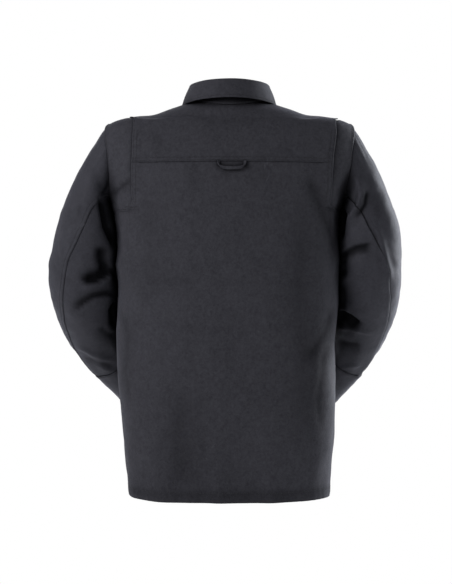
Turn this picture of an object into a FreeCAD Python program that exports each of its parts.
"""Leather welding jacket, size L, as worn: back yoke, action pleats, fold-down collar,
snap-front storm flap, two-piece sleeves and snapped cuffs.

Frame, millimetres: +Z up, the origin at the middle of the hem plane, the back faces +Y,
the front faces -Y, and the wearer's left is +X. Every panel is its own closed solid of
leather thickness, and panels that are sewn together stand SEAM apart.

The body surface is addressed by an angle and a level. The angle runs from +X (the left side)
through 90 degrees (the back); the front has negative angles. The level is a row number of
LEVELS and need not be whole.
"""
import FreeCAD, Part
import math
import os

V = FreeCAD.Vector

# ---- leather and seams ----
T = 1.5                 # thickness of body and sleeve panels
SEAM = 0.4              # gap that stands for a sewn seam between two panels
HALF_SEAM = SEAM / 2
YOKE_SEAM = 0.004       # half gap of the yoke seam, in levels

# ---- body sections: superellipses ----
HALF_WIDTH, BACK_DEPTH, FRONT_DEPTH, SIDE_Z, BACK_Z, FRONT_Z, EXPONENT = range(7)
# half width, back half depth, front half depth, z at side, back, front, exponent
LEVELS = [
    (200, 124, 126, 0, 0, 0, 2.9),
    (205, 126, 128, 70, 70, 70, 2.85),
    (213, 128, 130, 177, 177, 177, 2.75),
    (218, 128, 131, 277, 277, 277, 2.6),
    (221, 128, 132, 365, 365, 365, 2.5),
    (219, 127, 133, 430, 430, 430, 2.5),
    (221, 127, 134, 490, 490, 490, 2.5),
    (226, 126, 134, 550, 550, 550, 2.45),
    (244, 124, 131, 600, 600, 600, 2.4),
    (258, 120, 124, 648, 648, 642, 2.4),
    (262, 112, 113, 692, 686, 668, 2.35),
    (257, 104, 104, 716, 708, 681, 2.3),
    (245, 98, 97, 731, 723, 688, 2.25),
    (222, 93, 91, 742, 734, 692, 2.2),
    (190, 89, 87, 750, 743, 695, 2.15),
    (150, 86, 83, 759, 751, 697, 2.1),
    (112, 83, 80, 768, 758, 699, 2.05),
    (82, 80, 78, 778, 764, 701, 2.0),
]
YOKE_LEVEL = 9                  # yoke seam on the back
SHOULDER_LEVEL = 14             # the shoulder seam starts here
NECK_LEVEL = len(LEVELS) - 1    # and ends at the neck
SHOULDER_Y = -30.0              # y of the shoulder seam once it has run forward
SHOULDER_RUN = 2.0              # levels over which it runs forward

# ---- action pleats and armholes ----
PLEAT_X = 190.0                 # pleat line, each side of the back
PLEAT_Z = 566.0                 # lower end of the pleats
PLEAT_TOP_LEVEL = 13.78
PLEAT_MIN_WIDTH = 2.0
ARM_Z, ARM_HALF_H, ARM_HALF_D = 655.0, 80.0, 75.0   # centre height, half height, half depth

# ---- opening fronts and storm flap ----
FOLD_TOP = (12.0, 697.0)        # x, z of the fold line of each opening front, at the neck
FOLD_LOW = (130.0, 0.0)         # and at the hem
FOLD_GAP = 4.0                  # half gap at the fold line
FRONT_TOP = 558.0               # the opening part of the front ends here
FRONT_BOTTOM = 2.0              # and hangs clear of the hem plane here
CENTRE_X = 1.0                  # edge of each fixed front above the opening part
FLAP_LEFT, FLAP_RIGHT = 48.0, -22.0     # x of the storm flap edges
FLAP_TOP_LEVEL = 15.5
EDGE_LEFT, EDGE_RIGHT = 24.0, 22.0      # x of the free edges of the two fronts under the flap
EDGE_TAPER, TAPER_Z = 18.0, 350.0       # the right edge draws back by this, from this height
FLAP_GAP = 2.6                  # stack height of a closed snap between flap and under edge
FLAP_OUT = FLAP_GAP + T         # outside of the flap above the body surface

# ---- snaps ----
SNAP_Z = [66.0 + 110.0 * i for i in range(5)]
NECK_SNAP_Z = 640.0
CAP_R, CAP_H = 7.5, 2.4
DOME_H = CAP_H * 0.55
SOCKET_R, SOCKET_BORE, SOCKET_T = 5.2, 2.5, 1.2
STUD_FLANGE_R, STUD_FLANGE_T, STUD_R, STUD_START = 5.2, 0.6, 2.1, 0.5
STUD_LIFT = 0.3
STUD_H = FLAP_GAP - 0.95
POST_R, POST_BORE, POST_T = 5.6, 1.6, 0.8

# ---- inner layers: gap to the leather, own thickness ----
LINING_GAP, LINING_T, LINING_INSET = 0.6, 0.8, 7.0
FACING_GAP, FACING_T, FACING_INSET = 0.4, 1.0, 5.0
FACING_Z = (1.0, 16.0, 32.0)
POCKET_GAP, POCKET_T = 0.8, 1.2
POCKET_X = (78.0, 186.0)
POCKET_Z = (395.0, 430.0, 490.0, 540.0)

# ---- left sleeve; ring angles run from the outer edge (0) through the back (90), degrees ----
# outer-edge point, inner-edge point, half depth, front seam angle, back seam angle
UPPER_RINGS = [
    ((238, 0, 722), (234, 0, 594), 58, -78, 165),
    ((278, 0, 683), (246, -1, 578), 66, -70, 155),
    ((306, -1, 633), (248, -2, 566), 69, -64, 135),
    ((328, -2, 585), (248, -3, 551), 71, -58, 118),
    ((342, -3, 537), (243, -4, 530), 72, -54, 100),
    ((354, -4, 495), (236, -6, 495), 71, -52, 85),
    ((362, -6, 450), (236, -9, 452), 70, -52, 68),
]
# centre, half width in the bend plane, half depth, front seam angle, back seam angle
LOWER_RINGS = [
    ((295.0, -29.0, 393.0), 62, 66, -52, 58),
    ((292.0, -50.0, 362.0), 60, 63, -52, 52),
    ((284.0, -75.0, 331.0), 57, 60, -52, 48),
    ((272.0, -98.0, 303.0), 54, 56, -52, 46),
    ((258.0, -118.0, 278.0), 51, 52, -52, 45),
]
UPPER_SEAM_DEG, LOWER_SEAM_DEG = 0.25, 0.3      # half gaps of the sleeve seams
ELBOW = V(298.0, -12.0, 418.0)
ELBOW_R, ELBOW_INNER_R = 55.0, 53.6
ELBOW_BORE_R, ELBOW_BORE_L = 43.0, 120.0

# ---- left cuff ----
# centre, half width in the bend plane, half depth
CUFF_RINGS = [
    ((258.0, -113.0, 284.0), 45.5, 46.5),
    ((231.0, -141.0, 243.0), 44.5, 45.5),
    ((196.0, -169.0, 199.0), 43.5, 44.5),
]
CUFF_T = T + 0.7
CUFF_ENDS = (-64, 290)          # ring angles of the cuff's two overlapping ends
TAB_T = T + 0.3
TAB_ENDS = (-96, -30)
TAB_SHARES = (0.52, 0.72, 0.96)         # places along the cuff, as shares of its length
CUFF_SNAP_SHARE, CUFF_SNAP_DEG = 0.74, -44.0

# ---- collar; heights and radii in the order side, back, front ----
COLLAR_STEPS = 32
STAND_END_DEG, STAND_T = 178.6, 2.4     # ends measured from the centre back
STAND_LOW_Z = tuple(z + 4.0 for z in LEVELS[NECK_LEVEL][SIDE_Z:EXPONENT])
STAND_TOP_Z = (811, 811, 737)
STAND_LOW_R = (81.0, 79.0, 77.0)
STAND_TOP_R = (75.0, 74.0, 76.0)
LEAF_END_DEG, LEAF_T = 168.0, 2.2
LEAF_ROLL_Z = (815.5, 816, 742)
LEAF_DROP = (39.5, 38, 66)
LEAF_ROLL_R = (80.0, 79.5, 84.0)
LEAF_EDGE_R = (95.0, 92.0, 92.0)
LEAF_POINT_Y, LEAF_POINT_SPREAD = 36.0, 0.16    # extra reach of the points, forward and sideways
LEAF_ROLL_SLOPE = 1.0

# ---- hanger loop ----
LOOP_HALF, LOOP_DROP, LOOP_W, LOOP_T = 26.0, 17.0, 7.0, 1.8
LOOP_TILT = 22.0
LOOP_AT = V(-4.0, 122.2, LEVELS[YOKE_LEVEL][BACK_Z] + 1.0)


# ---- body surface ----
def level_at(level):
    """Row of the level table, interpolated."""
    level = min(max(level, 0.0), float(NECK_LEVEL))
    i = min(int(level), NECK_LEVEL - 1)
    share = level - i
    return [p + (q - p) * share for p, q in zip(LEVELS[i], LEVELS[i + 1])]


def level_of(z, column):
    """Level at which a height column of the table reaches z."""
    i = next(i for i in range(NECK_LEVEL) if z <= LEVELS[i + 1][column])
    low, high = LEVELS[i][column], LEVELS[i + 1][column]
    return i + (z - low) / (high - low)


def blend_round(c, s, side, back, front):
    """Value at direction (c, s), blended between its values at side, back and front."""
    return side * c * c + (back if s >= 0 else front) * s * s


def signed_power(value, power):
    return math.copysign(abs(value) ** power, value)


def on_body(angle, level):
    """Point of the body's outside."""
    half, back, front, side_z, back_z, front_z, exponent = level_at(level)
    c, s = math.cos(angle), math.sin(angle)
    return V(half * signed_power(c, 2.0 / exponent),
             (back if s >= 0 else front) * signed_power(s, 2.0 / exponent),
             blend_round(c, s, side_z, back_z, front_z))


def body_normal(angle, level):
    """Unit vector out of the body; level below the chest so that the hem stays flat."""
    around = on_body(angle + 0.02, level) - on_body(angle - 0.02, level)
    upward = on_body(angle, level + 0.1) - on_body(angle, level - 0.1)
    normal = around.cross(upward)
    if level < 8:
        normal.z = normal.z * max(0.0, level - 7.0)
    normal.normalize()
    return normal


def body_point(angle, level, out=0.0):
    return on_body(angle, level) + body_normal(angle, level) * out


def back_angle(x, level):
    """Angle at which the back of the section has this x."""
    row = level_at(level)
    share = min(1.0, abs(x) / row[HALF_WIDTH])
    angle = math.acos(share ** (row[EXPONENT] / 2.0))
    return math.pi - angle if x < 0 else angle


def front_angle(x, level):
    return -back_angle(x, level)


def angle_at_y(y, level):
    """Angle at which the left half of the section has this y."""
    row = level_at(level)
    share = min(1.0, abs(y) / row[BACK_DEPTH if y >= 0 else FRONT_DEPTH])
    return math.copysign(math.asin(share ** (row[EXPONENT] / 2.0)), y)


def armhole_angle(level, side):
    """Angle of the armhole's edge, side 1 back or -1 front; None where there is no armhole."""
    rise = (level_at(level)[SIDE_Z] - ARM_Z) / ARM_HALF_H
    if abs(rise) >= 1.0:
        return None
    return angle_at_y(side * ARM_HALF_D * math.sqrt(1.0 - rise ** 2), level)


def turn_for(level, angle, distance):
    """Angle turned by a distance along the section."""
    chord = (on_body(angle + 0.005, level) - on_body(angle - 0.005, level)).Length
    return distance / max(chord / 0.01, 20.0)


def shoulder_y(level):
    share = min(1.0, max(0.0, (level - SHOULDER_LEVEL) / SHOULDER_RUN))
    return SHOULDER_Y * share ** 0.7


def fold_x(z):
    share = (FOLD_TOP[1] - z) / (FOLD_TOP[1] - FOLD_LOW[1])
    return FOLD_TOP[0] + (FOLD_LOW[0] - FOLD_TOP[0]) * share


def span(low, high, extra=()):
    """Levels from low to high with every whole level between and the extra ones."""
    levels = {round(low, 5), round(high, 5)}
    levels.update(float(i) for i in range(len(LEVELS)) if low + 0.02 < i < high - 0.02)
    levels.update(round(e, 5) for e in extra if low < e < high)
    return sorted(levels)


def armhole_levels():
    """Extra levels that shape the lower and upper ends of the armhole."""
    under = level_of(ARM_Z - ARM_HALF_H, SIDE_Z)
    over = level_of(ARM_Z + ARM_HALF_H, SIDE_Z)
    steps = (0.0, 0.12, 0.5)
    return [under + s for s in steps] + [over - s for s in steps]


# ---- panel solids ----
def spread(first, last, steps):
    return [first + (last - first) * k / steps for k in range(steps + 1)]


def faces_to_solid(faces):
    compound = Part.makeCompound(faces)
    compound.sewShape(0.001)
    solid = Part.makeSolid(Part.Shell(compound.Faces))
    if solid.Volume < 0:
        solid.reverse()
    return solid


def curve(points):
    if len(points) == 2:
        return Part.makeLine(points[0], points[1])
    spline = Part.BSplineCurve()
    last = len(points) - 1.0
    spline.interpolate(Points=points, Parameters=[i / last for i in range(len(points))])
    return spline.toShape()


def ruled_solid(sections):
    """Closed solid through sections (outer points, inner points), ruled between neighbours."""
    faces = []
    edges = [(curve(o), curve(i)) for o, i in sections]
    ends = [(Part.makeLine(o[0], i[0]), Part.makeLine(o[-1], i[-1])) for o, i in sections]
    for k in range(len(sections) - 1):
        for s in (0, 1):
            faces.append(Part.makeRuledSurface(edges[k][s], edges[k + 1][s]))
            faces.append(Part.makeRuledSurface(ends[k][s], ends[k + 1][s]))
    faces.append(Part.makeRuledSurface(*edges[0]))
    faces.append(Part.makeRuledSurface(*edges[-1]))
    return faces_to_solid(faces)


def body_panel(rows, steps, out=0.0, thick=T):
    """Panel on the body: rows are (level, first angle, last angle)."""
    sections = []
    for level, first, last in rows:
        angles = spread(first, last, steps)
        sections.append(([body_point(a, level, out) for a in angles],
                         [body_point(a, level, out - thick) for a in angles]))
    return ruled_solid(sections)


def front_row(level, first_x, last_x):
    return level, front_angle(first_x, level), front_angle(last_x, level)


# ---- back ----
def back_panel():
    """Full width up to the pleats, then only between the pleat lines to the yoke.

    It is one solid made of three columns side by side; the outer two stop at the pleats.
    """
    pleat_level = level_of(PLEAT_Z, BACK_Z)
    levels = span(0.0, YOKE_LEVEL - YOKE_SEAM, (pleat_level,))
    side_top = levels.index(round(pleat_level, 5))
    tops = (side_top, len(levels) - 1, side_top)
    steps = (6, 22, 6)

    bounds = []
    for level in levels:
        side = turn_for(level, 0.0, HALF_SEAM)
        pleat = back_angle(PLEAT_X - HALF_SEAM, level)
        bounds.append((side, pleat, math.pi - pleat, math.pi - side))

    def edge(column, k, out):
        angles = spread(bounds[k][column], bounds[k][column + 1], steps[column])
        return curve([body_point(a, levels[k], out) for a in angles])

    def rung(j, k):
        angle = bounds[k][j]
        return Part.makeLine(body_point(angle, levels[k]), body_point(angle, levels[k], -T))

    faces = []
    for column, top in enumerate(tops):
        outer, inner = [[edge(column, k, out) for k in range(top + 1)] for out in (0.0, -T)]
        for k in range(top):
            for edges in (outer, inner):
                faces.append(Part.makeRuledSurface(edges[k], edges[k + 1]))
            for j, other in ((column, column - 1), (column + 1, column + 1)):
                if other not in (0, 1, 2) or k >= tops[other]:
                    faces.append(Part.makeRuledSurface(rung(j, k), rung(j, k + 1)))
        faces.append(Part.Face(Part.Wire(
            [outer[0], rung(column + 1, 0), inner[0], rung(column, 0)])))
        faces.append(Part.makeRuledSurface(outer[top], inner[top]))
    return [faces_to_solid(faces)]


def yoke_rows(inset):
    """From the yoke seam over the shoulders to the front shoulder seams."""
    rows = []
    low = YOKE_LEVEL + YOKE_SEAM + inset * 0.02
    for level in span(low, NECK_LEVEL - inset * 0.02, (13.5, 13.8, 13.95)):
        if level < 13.97:
            angle = back_angle(PLEAT_X - HALF_SEAM - inset, level)
        else:
            angle = angle_at_y(shoulder_y(level) + SEAM + inset * 0.5, level)
        rows.append((level, angle, math.pi - angle))
    return rows


def back_yoke():
    return [body_panel(yoke_rows(0.0), steps=26)]


def yoke_lining():
    return [body_panel(yoke_rows(LINING_INSET), steps=26, out=-T - LINING_GAP, thick=LINING_T)]


def action_pleat():
    """Strip between the left pleat line and the armhole."""
    rows = []
    for level in span(level_of(PLEAT_Z, BACK_Z) + 0.01, PLEAT_TOP_LEVEL, armhole_levels()):
        last = back_angle(PLEAT_X + HALF_SEAM, level)
        first = armhole_angle(level, 1)
        if first is None:
            first = turn_for(level, 0.0, HALF_SEAM)
        first = min(first, last - turn_for(level, last, PLEAT_MIN_WIDTH))
        rows.append((level, first, last))
    return [body_panel(rows, steps=10)]


# ---- fronts ----
def front_panel():
    """Fixed part of the left front, outside the fold line and round the neck."""
    rows = []
    opening_end = level_of(FRONT_TOP + 4.0, FRONT_Z)
    neck_start = level_of(FRONT_TOP + 12.0, FRONT_Z)
    for level in span(0.0, NECK_LEVEL, armhole_levels() + [opening_end, neck_start]):
        last = armhole_angle(level, -1)
        if level > SHOULDER_LEVEL:
            last = angle_at_y(shoulder_y(level), level)
        elif last is None:
            last = -turn_for(level, 0.0, HALF_SEAM)
        x = CENTRE_X
        if level <= opening_end + 0.01:
            x = fold_x(level_at(level)[FRONT_Z]) + FOLD_GAP
        rows.append((level, front_angle(x, level), last))
    return [body_panel(rows, steps=18)]


def opening_stations():
    """(level, z, x of the fold-side edge) up the opening part of the fronts."""
    low, high = level_of(FRONT_BOTTOM, FRONT_Z), level_of(FRONT_TOP, FRONT_Z)
    for level in span(low, high, (4.5,)):
        z = level_at(level)[FRONT_Z]
        yield level, z, fold_x(z) - FOLD_GAP


def front_edge_left():
    rows = [front_row(level, EDGE_LEFT, x) for level, z, x in opening_stations()]
    return [body_panel(rows, steps=8)]


def front_edge_right():
    """Reaches across the centre under the flap and draws back towards the top."""
    rows = []
    for level, z, x in opening_stations():
        taper = min(1.0, max(0.0, (z - TAPER_Z) / (FRONT_TOP - TAPER_Z)))
        rows.append(front_row(level, -x, EDGE_RIGHT - EDGE_TAPER * taper))
    return [body_panel(rows, steps=10)]


def storm_flap():
    rows = [front_row(level, FLAP_RIGHT, min(FLAP_LEFT, x - 1.0))
            for level, z, x in opening_stations()]
    return [body_panel(rows, steps=8, out=FLAP_OUT)]


def storm_flap_top():
    rows = [front_row(level, FLAP_RIGHT, FLAP_LEFT)
            for level in span(level_of(FRONT_TOP + 3.0, FRONT_Z), FLAP_TOP_LEVEL)]
    return [body_panel(rows, steps=8, out=FLAP_OUT)]


def hem_facing():
    """Band inside the hem, from the left fold line round the back to the right one."""
    rows = []
    for z in FACING_Z:
        level = level_of(z, BACK_Z)
        angle = front_angle(fold_x(z) + FOLD_GAP + FACING_INSET, level)
        rows.append((level, angle, math.pi - angle))
    return [body_panel(rows, steps=60, out=-T - FACING_GAP, thick=FACING_T)]


def inside_pocket():
    rows = [front_row(level_of(z, FRONT_Z), *POCKET_X) for z in POCKET_Z]
    return [body_panel(rows, steps=10, out=-T - POCKET_GAP, thick=POCKET_T)]


# ---- snaps ----
def placed(shape, point, normal, lift):
    """A turned solid made about +Z at the origin, set on the normal at a lift from the point."""
    solid = shape.Solids[0]
    turn = FreeCAD.Rotation(V(0, 0, 1), normal)
    solid.Placement = FreeCAD.Placement(point + normal * lift, turn)
    return solid


def washer(radius, bore, height, axis=V(0, 0, 1)):
    disc = Part.makeCylinder(radius, height, V(0, 0, 0), axis)
    return disc.cut(Part.makeCylinder(bore, height + 2, axis * -1, axis))


def snap_cap(point, normal, lift):
    dome_r = (CAP_R ** 2 + DOME_H ** 2) / (2 * DOME_H)
    dome = Part.makeSphere(dome_r, V(0, 0, CAP_H - dome_r))
    return placed(Part.makeCylinder(CAP_R, CAP_H).common(dome), point, normal, lift)


def snap_socket(point, normal, lift):
    return placed(washer(SOCKET_R, SOCKET_BORE, SOCKET_T), point, normal, lift)


def snap_stud(point, normal, lift, height):
    flange = Part.makeCylinder(STUD_FLANGE_R, STUD_FLANGE_T)
    stud = flange.fuse(Part.makeCylinder(STUD_R, height, V(0, 0, STUD_START)))
    return placed(stud, point, normal, lift)


def front_centre(z):
    """Point and outward unit normal of the outside at the centre front."""
    level = level_of(z, FRONT_Z)
    return body_point(-math.pi / 2, level), body_normal(-math.pi / 2, level)


def snap_caps():
    return [snap_cap(*front_centre(z), lift=FLAP_OUT + 0.4) for z in SNAP_Z]


def snap_sockets():
    return [snap_socket(*front_centre(z), lift=FLAP_GAP - SOCKET_T - 0.15) for z in SNAP_Z]


def snap_studs():
    return [snap_stud(*front_centre(z), lift=STUD_LIFT, height=STUD_H) for z in SNAP_Z]


def snap_posts():
    """Washers on the inside of the front, behind the studs."""
    posts = []
    for z in SNAP_Z:
        point, normal = front_centre(z)
        posts.append(placed(washer(POST_R, POST_BORE, POST_T), point, normal * -1, T + 0.15))
    return posts


def neck_snap_cap():
    return [snap_cap(*front_centre(NECK_SNAP_Z), lift=FLAP_OUT + 0.35)]


def neck_snap_stud():
    return [snap_stud(*front_centre(NECK_SNAP_Z), lift=STUD_LIFT, height=STUD_H)]


# ---- sleeve rings; a frame is (centre, lateral unit, depth unit, half width, half depth) ----
def depth_axis(tangent, lateral):
    """Unit vector across the sleeve, towards the back."""
    depth = tangent.cross(lateral)
    depth.normalize()
    return depth if depth.y >= 0 else depth * -1


def upper_frame(outer, inner, half_depth):
    outer, inner = V(*outer), V(*inner)
    lateral = outer - inner
    half_width = lateral.Length / 2
    lateral.normalize()
    depth = depth_axis(lateral.cross(V(0, 1, 0)), lateral)
    return (outer + inner) * 0.5, lateral, depth, half_width, half_depth


def chain_frames(rings):
    """Frames of rings given by their centres, each square to the line of its neighbours."""
    frames = []
    last = len(rings) - 1
    for i, ring in enumerate(rings):
        tangent = V(*rings[min(i + 1, last)][0]) - V(*rings[max(i - 1, 0)][0])
        tangent.normalize()
        lateral = V(1, 0, 0) - tangent * tangent.x
        lateral.normalize()
        frames.append((V(*ring[0]), lateral, depth_axis(tangent, lateral), ring[1], ring[2]))
    return frames


def between(frames, share):
    """Frame at a share of the way along a list of frames."""
    x = share * (len(frames) - 1)
    i = min(int(x), len(frames) - 2)
    k = x - i
    centre, lateral, depth, half_width, half_depth = [
        p * (1 - k) + q * k for p, q in zip(frames[i], frames[i + 1])]
    lateral.normalize()
    depth.normalize()
    return centre, lateral, depth, half_width, half_depth


def ring_point(frame, degrees, inset=0.0):
    centre, lateral, depth, half_width, half_depth = frame
    angle = math.radians(degrees)
    return (centre + lateral * ((half_width - inset) * math.cos(angle))
            + depth * ((half_depth - inset) * math.sin(angle)))


def tube_panel(rows, thick, steps, inset=0.0):
    """Strip of tube: rows are (frame, first angle, last angle) in degrees."""
    sections = []
    for frame, first, last in rows:
        angles = spread(first, last, steps)
        sections.append(([ring_point(frame, a, inset) for a in angles],
                         [ring_point(frame, a, inset + thick) for a in angles]))
    return ruled_solid(sections)


def outer_strip(frames, rings, gap, steps):
    """Outer sleeve piece, from the front seam to the back seam."""
    rows = [(frame, ring[3] + gap, ring[4] - gap) for frame, ring in zip(frames, rings)]
    return tube_panel(rows, T, steps)


def under_strip(frames, rings, gap, steps):
    """Under sleeve piece, from the back seam round the inner edge to the front seam."""
    rows = [(frame, ring[4] + gap, 360 + ring[3] - gap) for frame, ring in zip(frames, rings)]
    return tube_panel(rows, T, steps)


def upper_frames():
    return [upper_frame(*ring[:3]) for ring in UPPER_RINGS]


def elbow_ball():
    """Hollow ball in the elbow, bored towards the upper and the lower sleeve."""
    ball = Part.makeSphere(ELBOW_R, ELBOW).cut(Part.makeSphere(ELBOW_INNER_R, ELBOW))
    for target in (upper_frames()[5][0], V(*LOWER_RINGS[2][0])):
        direction = target - ELBOW
        direction.normalize()
        ball = ball.cut(Part.makeCylinder(ELBOW_BORE_R, ELBOW_BORE_L, ELBOW, direction))
    return ball.Solids


def upper_sleeve_outer():
    return [outer_strip(upper_frames(), UPPER_RINGS, UPPER_SEAM_DEG, steps=22)]


def upper_sleeve_under():
    return [under_strip(upper_frames(), UPPER_RINGS, UPPER_SEAM_DEG, steps=16)] + elbow_ball()


def lower_sleeve_outer():
    return [outer_strip(chain_frames(LOWER_RINGS), LOWER_RINGS, LOWER_SEAM_DEG, steps=14)]


def lower_sleeve_under():
    return [under_strip(chain_frames(LOWER_RINGS), LOWER_RINGS, LOWER_SEAM_DEG, steps=20)]


# ---- cuff ----
def cuff():
    rows = [(frame, *CUFF_ENDS) for frame in chain_frames(CUFF_RINGS)]
    return [tube_panel(rows, CUFF_T, steps=28)]


def cuff_tab():
    frames = chain_frames(CUFF_RINGS)
    rows = [(between(frames, share), *TAB_ENDS) for share in TAB_SHARES]
    return [tube_panel(rows, TAB_T, steps=8, inset=-(FLAP_GAP + TAB_T))]


def cuff_snap_place():
    """Point and outward unit normal on the cuff under the tab."""
    frame = between(chain_frames(CUFF_RINGS), CUFF_SNAP_SHARE)
    point = ring_point(frame, CUFF_SNAP_DEG)
    normal = ring_point(frame, CUFF_SNAP_DEG, -5.0) - point
    normal.normalize()
    return point, normal


def cuff_stud():
    return [snap_stud(*cuff_snap_place(), lift=0.35, height=FLAP_GAP - 1.1)]


def cuff_snap():
    return [snap_cap(*cuff_snap_place(), lift=FLAP_OUT + 1.0),
            snap_socket(*cuff_snap_place(), lift=FLAP_GAP - SOCKET_T - 0.35)]


# ---- collar ----
def neck_directions(end):
    """Unit x, y round the neck through the centre back, to an end angle on each side."""
    for degrees in spread(-end, end, COLLAR_STEPS):
        angle = math.radians(degrees)
        yield math.sin(angle), math.cos(angle)


def radii(sizes, y):
    side, back, front = sizes
    return side, back if y > 0 else front


def collar_stand():
    """Band round the neck, from the neck seam up to the roll line, open at the centre front."""
    sections = []
    for x, y in neck_directions(STAND_END_DEG):
        low_z, top_z = blend_round(x, y, *STAND_LOW_Z), blend_round(x, y, *STAND_TOP_Z)
        low_x, low_y = radii(STAND_LOW_R, y)
        top_x, top_y = radii(STAND_TOP_R, y)
        sections.append([[V((low_x - w) * x, (low_y - w) * y, low_z),
                          V((top_x - w) * x, (top_y - w) * y, top_z)] for w in (0.0, STAND_T)])
    return [ruled_solid(sections)]


def collar_leaf():
    """Turned-down leaf from the roll line at the top of the stand, ending in two points."""
    sections = []
    side_drop, back_drop, front_drop = LEAF_DROP
    for x, y in neck_directions(LEAF_END_DEG):
        front = max(0.0, -y)
        roll_z = blend_round(x, y, *LEAF_ROLL_Z)
        edge_z = roll_z - blend_round(x, y, side_drop, back_drop, front_drop * front)
        roll_x, roll_y = radii(LEAF_ROLL_R, y)
        edge_x, edge_y = radii(LEAF_EDGE_R, y)
        edge_y += LEAF_POINT_Y * front ** 2
        push = 1.0 + LEAF_POINT_SPREAD * front ** 2
        sections.append([[V((roll_x - w) * x, (roll_y - w) * y, roll_z - slope),
                          V((edge_x - w) * x * push, (edge_y - w) * y, edge_z)]
                         for w, slope in ((0.0, 0.0), (LEAF_T, LEAF_ROLL_SLOPE))])
    return [ruled_solid(sections)]


def hanger_loop():
    """Half-round leather strip at the yoke seam, leaning out at the bottom."""
    ring = washer(LOOP_HALF, LOOP_HALF - LOOP_W, LOOP_T, V(0, 1, 0))
    ring = ring.common(Part.makeBox(200, 200, 100, V(-100, -100, -100)))
    flatten = FreeCAD.Matrix()
    flatten.scale(1.0, 1.0, LOOP_DROP / LOOP_HALF)
    ring = ring.transformGeometry(flatten)
    ring.rotate(V(0, 0, 0), V(1, 0, 0), LOOP_TILT)
    ring.translate(LOOP_AT)
    return ring.Solids


SINGLE = {
    "front_edge_left": front_edge_left,
    "front_edge_right": front_edge_right,
}
for build in (back_panel, back_yoke, yoke_lining, storm_flap, storm_flap_top, snap_caps,
              snap_sockets, snap_studs, snap_posts, neck_snap_cap, neck_snap_stud, hem_facing,
              inside_pocket, collar_stand, collar_leaf, hanger_loop):
    SINGLE[build.__name__] = build

# built on the left and mirrored to the right
PAIRED = (action_pleat, front_panel, upper_sleeve_outer, upper_sleeve_under,
          lower_sleeve_outer, lower_sleeve_under, cuff, cuff_tab, cuff_stud, cuff_snap)


def export(shape, name):
    shape.exportStep(os.path.join("parts", name + ".step"))


def main():
    os.makedirs("parts", exist_ok=True)
    for name, build in SINGLE.items():
        export(Part.makeCompound(build()), name)
    for build in PAIRED:
        left = Part.makeCompound(build())
        export(left, build.__name__ + "_left")
        export(left.mirror(V(0, 0, 0), V(1, 0, 0)), build.__name__ + "_right")


main()
